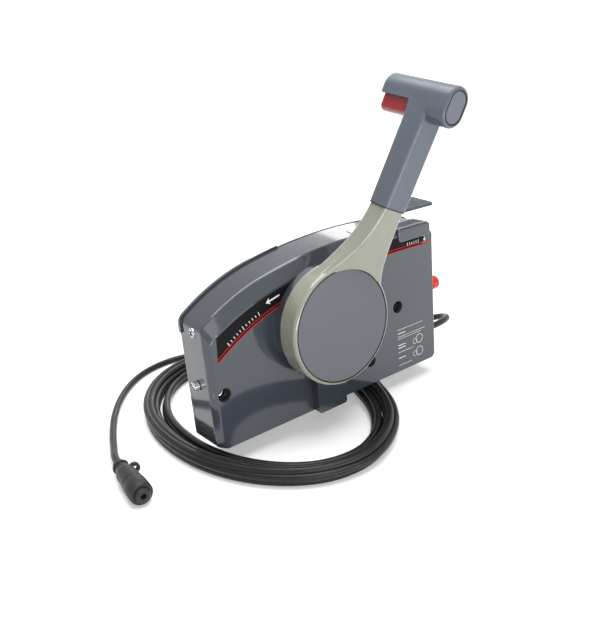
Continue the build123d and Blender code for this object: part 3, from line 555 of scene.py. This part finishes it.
def build_panel():
    """Ruled panel of plain lines and rings on the aft lower face."""
    shapes = []
    for z, share in panel_lines:
        length = (panel_right - panel_left) * share
        shapes.append(bar(panel_left + length / 2, z, length, 0.3))
    for z in panel_dashes:
        shapes.append(bar(panel_left + 5.0, z, 9.0, 0.6))
    for z in panel_rings:
        shapes += ring_outline(108.5, z, 4.2, 0.4)
        shapes += ring_outline(103.0, z - 1.2, 2.6, 0.35)
    flat_piece("panel_marks", shapes, label_depth, 0.03, "label_white")


# ---- small trim ----
def turned(name, profile, origin, axis, paint, body, steps):
    """Closed ring or dome turned about an axis from (along, radius) points in millimetres."""
    work = bmesh.new()
    turn = Vector(axis).to_track_quat("Z", "Y").to_matrix()
    rings = []
    for step in range(steps):
        angle = 2 * pi * step / steps
        ring = []
        for along, radius in profile:
            local = Vector((radius * cos(angle), radius * sin(angle), along))
            ring.append(work.verts.new((turn @ local + Vector(origin)) * MM))
        rings.append(ring)
    count = len(profile)
    for step in range(steps):
        here, there = rings[step], rings[(step + 1) % steps]
        for i in range(count):
            j = (i + 1) % count
            work.faces.new((here[i], here[j], there[j], there[i]))
    bmesh.ops.remove_doubles(work, verts=work.verts, dist=0.000002)
    bmesh.ops.recalc_face_normals(work, faces=work.faces)
    for face in work.faces:
        face.smooth = True
    placed(name, work, paint, body)


def bead(along, radius, size, points=10):
    """Round section of a ring, for turned()."""
    turns = [2 * pi * i / points for i in range(points)]
    return [(along + size * sin(turn), radius + size * cos(turn)) for turn in turns]


def block(work, centre, size, turn=None, taper=1.0):
    """Small bar with its top pulled in by taper, size along its own x, y and z, in millimetres."""
    turn = turn or Matrix.Identity(3)
    half = [v / 2 for v in size]
    verts = []
    for z, pull in ((-half[2], 1.0), (half[2], taper)):
        for x, y in ((-half[0], -half[1]), (half[0], -half[1]), (half[0], half[1]), (-half[0], half[1])):
            shrink = half[1] * (1 - pull)
            place = Vector((x - shrink * (1 if x > 0 else -1), y * pull, z))
            verts.append(work.verts.new((turn @ place + Vector(centre)) * MM))
    for quad in ((0, 3, 2, 1), (4, 5, 6, 7), (0, 1, 5, 4), (1, 2, 6, 5), (2, 3, 7, 6), (3, 0, 4, 7)):
        work.faces.new([verts[i] for i in quad])


def finish_blocks(name, work, paint, body):
    """The edit mesh, with its faces turned outwards, as a piece of the scene."""
    bmesh.ops.recalc_face_normals(work, faces=work.faces)
    return placed(name, work, paint, body)


def build_cap_gap_shade():
    """Painted shade of the gap round the hub cap: a dark ring over the model's narrow gap."""
    gap_shade = bead(0, cap_radius + 0.1, 0.55)
    turned("hub_cap_gap_shade", gap_shade, (0, -hub_face + 0.30, 0), (0, -1, 0), "gap_shade", "lever", 128)


screw_radius = 4.0
slot_turn = 35.0                # degrees that the screws' slots stand away from level
# along the screw in millimetres, and share of the head's radius
screw_dome = ((0, 0.99), (0.25, 0.97), (0.55, 0.80), (0.80, 0.45), (0.86, 0), (0, 0))


def screw_head(name, place, body, slots, slot_length):
    """Low dome with slots, a square turn apart, on the end of a screw that faces forward; the slots are dark
    bars of painted shade.

    slot_length is a share of the head's radius.
    """
    x, y, z = place
    dome = [(along, screw_radius * share) for along, share in screw_dome]
    turned(name, dome, place, (-1, 0, 0), "screw", body, 32)
    work = bmesh.new()
    for i in range(slots):
        spin = Matrix.Rotation(radians(slot_turn + 90.0 * i), 3, "X")
        block(work, (x - 0.66, y, z), (0.6, screw_radius * slot_length, 0.9), spin)
    finish_blocks(name + "_slot_shade", work, "gap_shade", body)


def build_screws():
    screw_head("end_screw_dome", (-102.6, -17.0, 14.5), "box", 2, 1.25)
    screw_head("friction_screw_dome", (-106.4, -14.5, -27.6), "friction_screw", 1, 1.7)


rib_count = 5
rib_size = (34.0, 2.2, 0.8)
rib_pitch = 3.3
rib_middle = 105.9              # X of the ribs' middle
rib_first_depth = 33.2          # depth of the rib nearest the front
stud_rows, stud_columns = 9, 9
stud_size = (1.9, 1.9, 0.6)
stud_pitch_aft, stud_pitch_deep = 4.0, 3.2
stud_first = (93.0, 4.4)        # X and depth of the first one


def build_ribs():
    """Raised ribs on the pad, pale with a painted highlight, and rows of low studs on the fast-idle blade."""
    work = bmesh.new()
    for i in range(rib_count):
        block(work, (rib_middle, -(rib_first_depth - rib_pitch * i), pad_top + 0.2), rib_size, taper=0.6)
    ribs = finish_blocks("pad_ribs", work, "pad_rib_highlight", "box")
    soften(ribs, 0.15, 2)
    work = bmesh.new()
    for row in range(stud_rows):
        for column in range(stud_columns):
            x = stud_first[0] + stud_pitch_aft * column + (stud_pitch_aft / 2 if row % 2 else 0.0)
            depth = stud_first[1] + stud_pitch_deep * row
            block(work, (x, -depth, blade_top + 0.1), stud_size, taper=0.5)
    finish_blocks("blade_studs", work, "blade", "fast_idle")


# ---- pieces redrawn over the model ----
lever_up = Vector((sin(lever_lean_aft), 0, cos(lever_lean_aft)))
lever_along = Vector((cos(lever_lean_aft), 0, -sin(lever_lean_aft)))
trigger_way = Vector((0.389416, -0.175367, 0.904213))   # the way in which the trigger slides


def copied(name):
    """Edit mesh holding a copy of a piece of the model."""
    work = bmesh.new()
    work.from_mesh(nodes[name].data)
    work.transform(nodes[name].matrix_world)
    return work


def redrawn(name, work, paint, body):
    """The edited copy takes the piece's place."""
    piece = finish_blocks(name + "_shown", work, paint, body)
    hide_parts(name)
    return piece


def cut(work, place, normal):
    """Keeps what is on the back of the plane, and closes the cut."""
    geom = work.verts[:] + work.edges[:] + work.faces[:]
    result = bmesh.ops.bisect_plane(
        work, geom=geom, plane_co=Vector(place) * MM, plane_no=normal, clear_outer=True, dist=0.000001,
    )
    edges = [e for e in result["geom_cut"] if isinstance(e, bmesh.types.BMEdge)]
    bmesh.ops.edgenet_fill(work, edges=edges)


blade_shown_from = 90.0         # X from which the solid's blade is kept
foot_top = 46.2                 # height up to which the solid's foot is kept
neck_depth = 22.0
neck_wide = 8.6
neck_outline = ((61.6, 45.6), (70.4, 45.6), (103.0, 64.4), (93.0, 65.6), (90.6, 64.4))


def build_fast_idle():
    """Fast-idle lever with a cranked neck, so that its blade starts behind the control arm."""
    foot = copied("fast_idle_lever")
    cut(foot, (0, 0, foot_top), (0, 0, 1))
    blade = copied("fast_idle_lever")
    cut(blade, (blade_shown_from, 0, 0), (-1, 0, 0))
    mesh = bpy.data.meshes.new("blade_part")
    blade.to_mesh(mesh)
    blade.free()
    foot.from_mesh(mesh)
    bpy.data.meshes.remove(mesh)
    near, far = neck_depth - neck_wide / 2, neck_depth + neck_wide / 2
    front = [foot.verts.new((x * MM, -far * MM, z * MM)) for x, z in neck_outline]
    back = [foot.verts.new((x * MM, -near * MM, z * MM)) for x, z in neck_outline]
    foot.faces.new(front)
    foot.faces.new(list(reversed(back)))
    for i in range(len(front)):
        j = (i + 1) % len(front)
        foot.faces.new((front[j], front[i], back[i], back[j]))
    soften(redrawn("fast_idle_lever", foot, "blade", "fast_idle"), 0.5)


cover_from = 46.6               # X of the cover's forward end
cover_step = 1.3
cover_rows = 9
cover_cells = 12                # across the slot
cover_near, cover_far = 16.2, 27.8      # depths of the cover's two sides, on the housing beside the slot
cover_skin = (0.02, 1.2)        # the cover's top and underside, below the housing's surface
slope_reach = 1.0               # the housing's slope is measured over this much beyond each side


def blend(t, start, end, leaving, arriving):
    """Height at share t of a cubic Hermite curve from start to end, with the slopes of both sides."""
    return (
        (2 * t ** 3 - 3 * t ** 2 + 1) * start + (t ** 3 - 2 * t ** 2 + t) * leaving
        + (3 * t ** 2 - 2 * t ** 3) * end + (t ** 3 - t ** 2) * arriving
    )


def build_slot_cover():
    """Skin over the forward end of the neck's slot, which the cranked neck doesn't use."""
    tree = BVHTree.FromObject(nodes["front_housing"], bpy.context.evaluated_depsgraph_get())
    span = cover_far - cover_near

    def height(x, depth):
        hit = tree.ray_cast(Vector((x, -depth, 80.0)) * MM, Vector((0, 0, -1)))[0]
        return hit.z / MM

    work = bmesh.new()
    rows = []
    for i in range(cover_rows):
        x = cover_from + cover_step * i
        start, end = height(x, cover_near), height(x, cover_far)
        leaving = (start - height(x, cover_near - slope_reach)) / slope_reach * span
        arriving = (height(x, cover_far + slope_reach) - end) / slope_reach * span
        row = []
        for j in range(cover_cells + 1):
            t = j / cover_cells
            y = -(cover_near + span * t)
            z = blend(t, start, end, leaving, arriving)
            row.append([work.verts.new((x * MM, y * MM, (z - low) * MM)) for low in cover_skin])
        rows.append(row)
    for a, b in zip(rows, rows[1:]):
        for p in range(cover_cells):
            q = p + 1
            work.faces.new((a[p][0], a[q][0], b[q][0], b[p][0]))
            work.faces.new((a[p][1], b[p][1], b[q][1], a[q][1]))
    for row in (rows[0], rows[-1]):
        for p in range(cover_cells):
            work.faces.new((row[p][0], row[p][1], row[p + 1][1], row[p + 1][0]))
    for side in (0, cover_cells):
        for a, b in zip(rows, rows[1:]):
            work.faces.new((a[side][0], b[side][0], b[side][1], a[side][1]))
    for face in work.faces:
        face.smooth = True
    finish_blocks("slot_cover", work, "housing", "box")


trigger_squash = 0.15           # share of its height that the trigger loses, from below


def build_trigger():
    """Trigger bar of the height that shows under the head."""
    work = copied("trigger")
    top = max(v.co.dot(trigger_way) for v in work.verts)
    for vert in work.verts:
        vert.co += trigger_way * (top - vert.co.dot(trigger_way)) * trigger_squash
    soften(redrawn("trigger", work, "trigger_red", "trigger"), 1.6, 4, 25.0)


diagonal = 0.7                  # shortens the sum of two square directions to about one


def rim_line(name, outline, normal, inside, outside, slip=0.0, deep=1.0):
    """Flat ring of painted shade that follows an outline, from inside to outside of it, and goes back along
    the normal.

    inside, outside, slip and deep are in millimetres. slip moves the outer edge by about this much towards
    one corner, and where deep is negative, the ring goes forwards.
    """
    centre = sum(outline, Vector()) / len(outline)
    across = normal.cross(lever_along).normalized()
    side = across.cross(normal).normalized()
    corner = side + across
    outline = sorted(outline, key=lambda p: atan2((p - centre).dot(across), (p - centre).dot(side)))
    work = bmesh.new()
    rings = []
    for grow, shift in ((inside, 0.0), (outside, slip)):
        ring = []
        for point in outline:
            place = point + ((point - centre).normalized() * grow - corner * shift * diagonal) * MM
            ring.append([work.verts.new(place - normal * back * MM) for back in (0.0, deep)])
        rings.append(ring)
    inner, outer = rings
    for i in range(len(outline)):
        j = (i + 1) % len(outline)
        work.faces.new((inner[i][0], inner[j][0], outer[j][0], outer[i][0]))
        work.faces.new((inner[i][1], outer[i][1], outer[j][1], inner[j][1]))
        work.faces.new((inner[i][0], inner[i][1], inner[j][1], inner[j][0]))
        work.faces.new((outer[i][0], outer[j][0], outer[j][1], outer[i][1]))
    finish_blocks(name, work, "gap_shade", "lever")


gap_shade_lift = 0.04                # the end cap's ring of painted gap shade stands this far proud of the grip's rim
rim_slack = 0.05                # points this close to the end cap's front belong to its outline
foot_slack = 0.03               # the same at the grip's foot


def build_grip_gap_shades():
    """Painted shade in the gap round the grip's end cap, and a painted shadow under the grip's foot."""
    cap = copied("grip_end_cap")
    face = max(cap.faces, key=lambda f: f.calc_area() * (f.normal.y < -0.7))
    normal = face.normal.copy()
    level = max(v.co.dot(normal) for v in cap.verts)
    grip = [nodes["grip"].matrix_world @ v.co for v in nodes["grip"].data.vertices]
    rim = max(p.dot(normal) for p in grip)
    lift = normal * (rim - level + gap_shade_lift * MM)
    outline = [v.co + lift for v in cap.verts if v.co.dot(normal) > level - rim_slack * MM]
    cap.free()
    rim_line("end_cap_gap_shade", outline, normal, 0.15, 0.95, 0.25)
    faces = [f for f in nodes["grip"].data.polygons if f.normal.dot(lever_up) < -0.9]
    foot = min(faces, key=lambda f: f.center.dot(lever_up))
    level = foot.center.dot(foot.normal)
    ring = [p for p in grip if abs(p.dot(foot.normal) - level) < foot_slack * MM]
    hull = convex_hull_2d([(p.dot(lever_along), p.y) for p in ring])
    rim_line("grip_foot_shadow", [ring[i] for i in hull], foot.normal.copy(), -1.0, 0.15, 0.0, -0.7)


recess_places = (("forward", -92.6, -32.5), ("aft", 83.8, -15.3), ("lower", 49.8, -54.1))
recess_floor = 25.7             # depth at which the painted shade starts
recess_shade_profile = ((0.0, 5.36), (0.0, 5.15), (8.6, 5.15), (8.6, 5.36))    # along the bore, radius


def build_recesses():
    """Painted shade inside the three bolt recesses in the front: dark linings on their walls."""
    for name, x, z in recess_places:
        place = (x, -recess_floor, z)
        turned("recess_shade_" + name, recess_shade_profile, place, (0, -1, 0), "gap_shade", "box", 40)


# the seal line and the two grooves are dark rings of painted shade
# name, along from the cable's end, radius, size of its section, points of its section, paint
plug_rings = (
    ("plug_seal_line", 33.5, 8.25, 0.45, 10, "gap_shade"),
    ("strap_ring", -3.5, 5.0, 1.2, 10, "black_plastic"),
    ("ring_groove_36", 36.0, 8.55, 0.18, 6, "gap_shade"),
    ("ring_groove_38", 38.0, 8.55, 0.18, 6, "gap_shade"),
)


def build_plug_trim():
    """Painted shade in the sealing line and in two grooves, and a strap ring, round the connector."""
    way = (Vector(tail_route[-1]) - Vector(tail_route[-2])).normalized()
    for name, along, radius, size, points, paint in plug_rings:
        turned(name, bead(along, radius, size, points), tail_route[-1], way, paint, "box", 48)


# ---- camera, light and floor ----
def build_camera():
    """The photo's camera, as fitted to the box's edges and the hub."""
    data = bpy.data.cameras.new("camera")
    camera = bpy.data.objects.new("camera", data)
    scene.collection.objects.link(camera)
    right = Vector((0.78887, -0.60829, -0.08755))
    up = Vector((0.27219, 0.21810, 0.93720))
    forward = Vector((0.55099, 0.76317, -0.33762))
    turn = Matrix((right, up, -forward)).transposed().to_4x4()
    camera.matrix_world = Matrix.Translation((-0.3115, -0.4401, 0.1912)) @ turn
    data.lens = 40.63           # millimetres, on a sensor 36 mm along the picture's longer side
    data.sensor_width = 36.0
    data.sensor_fit = "AUTO"
    scene.camera = camera


# name, place, target, size (metres) and power (watts)
lamps = (
    ("overhead", (0.05, 0.0, 1.10), (0.0, 0.0, 0.0), (1.3, 0.9), 20.0),
    ("key", (-0.40, -1.05, 0.80), (0.0, 0.0, 0.02), (0.6, 0.5), 2.0),
    ("low", (-0.05, -0.62, -0.03), (0.0, 0.0, -0.04), (0.8, 0.08), 2.2),
    ("back", (0.75, 1.05, 0.55), (0.0, 0.0, 0.03), (0.6, 0.4), 2.5),
)


def area_light(name, place, target, size, power):
    """Soft rectangular lamp that faces its target, in metres and watts."""
    data = bpy.data.lights.new(name, "AREA")
    data.shape = "RECTANGLE"
    data.size, data.size_y = size
    data.energy = power
    light = bpy.data.objects.new(name, data)
    scene.collection.objects.link(light)
    light.location = place
    light.rotation_euler = (Vector(target) - Vector(place)).to_track_quat("-Z", "Y").to_euler()


def seen_rays(tree):
    """1 for what the camera, a mirror or glass sees, 0 for light on the object."""
    path = tree.nodes.new("ShaderNodeLightPath")
    value = path.outputs["Is Camera Ray"]
    for kind in ("Is Transmission Ray", "Is Glossy Ray"):
        larger = tree.nodes.new("ShaderNodeMath")
        larger.operation = "MAXIMUM"
        tree.links.new(value, larger.inputs[0])
        tree.links.new(path.outputs[kind], larger.inputs[1])
        value = larger.outputs["Value"]
    return value


world_light = 0.26              # the world's strength on the object; it is seen at 1
glow_near, glow_far = 0.20, 0.75    # metres from the middle over which the floor fades to white
glow_low = 0.32                 # strength of the floor's seen white near the object
floor_reach = 6.0


def build_world():
    """White as seen, and dim as a light."""
    world = bpy.data.worlds.new("studio")
    scene.world = world
    world.use_nodes = True
    tree = world.node_tree
    back = tree.nodes["Background"]
    strength = tree.nodes.new("ShaderNodeMapRange")
    strength.inputs["To Min"].default_value = world_light
    strength.inputs["To Max"].default_value = 1.0
    tree.links.new(seen_rays(tree), strength.inputs["Value"])
    tree.links.new(strength.outputs["Result"], back.inputs["Strength"])
    back.inputs["Color"].default_value = (1, 1, 1, 1)


def floor_paint():
    """Pale floor that keeps the shadow near the object, and is seen as white further off."""
    paint = bpy.data.materials.new("floor_pale")
    paint.use_nodes = True
    tree = paint.node_tree
    shader = tree.nodes["Principled BSDF"]
    shader.inputs["Base Color"].default_value = (0.86, 0.86, 0.86, 1)
    shader.inputs["Roughness"].default_value = 0.9
    shader.inputs["Specular IOR Level"].default_value = 0.1
    shader.inputs["Emission Color"].default_value = (1, 1, 1, 1)
    place = tree.nodes.new("ShaderNodeTexCoord")
    distance = tree.nodes.new("ShaderNodeVectorMath")
    distance.operation = "LENGTH"
    tree.links.new(place.outputs["Object"], distance.inputs[0])
    fade = tree.nodes.new("ShaderNodeMapRange")
    fade.inputs["From Min"].default_value = glow_near
    fade.inputs["From Max"].default_value = glow_far
    fade.inputs["To Min"].default_value = glow_low
    fade.inputs["To Max"].default_value = 1.0
    tree.links.new(distance.outputs["Value"], fade.inputs["Value"])
    glow = tree.nodes.new("ShaderNodeMath")
    glow.operation = "MULTIPLY"
    tree.links.new(fade.outputs["Result"], glow.inputs[1])
    tree.links.new(seen_rays(tree), glow.inputs[0])
    tree.links.new(glow.outputs["Value"], shader.inputs["Emission Strength"])
    return paint


def build_floor():
    """Wide level floor that the coil lies on."""
    mesh = bpy.data.meshes.new("floor")
    a = floor_reach
    mesh.from_pydata([(-a, -a, 0), (a, -a, 0), (a, a, 0), (-a, a, 0)], [], [(0, 1, 2, 3)])
    floor = bpy.data.objects.new("floor", mesh)
    floor.location = (0, 0, (floor_height - 0.05) * MM)
    scene.collection.objects.link(floor)
    mesh.materials.append(floor_paint())


build_camera()
build_world()
build_floor()
for lamp in lamps:
    area_light(*lamp)
build_cord()
build_label()
build_marks()
build_panel()
build_cap_gap_shade()
build_screws()
build_ribs()
build_fast_idle()
build_slot_cover()
build_trigger()
build_grip_gap_shades()
build_recesses()
build_plug_trim()
for name, width in edge_widths.items():
    soften(nodes[name], width)

scene.view_settings.view_transform = "Standard"
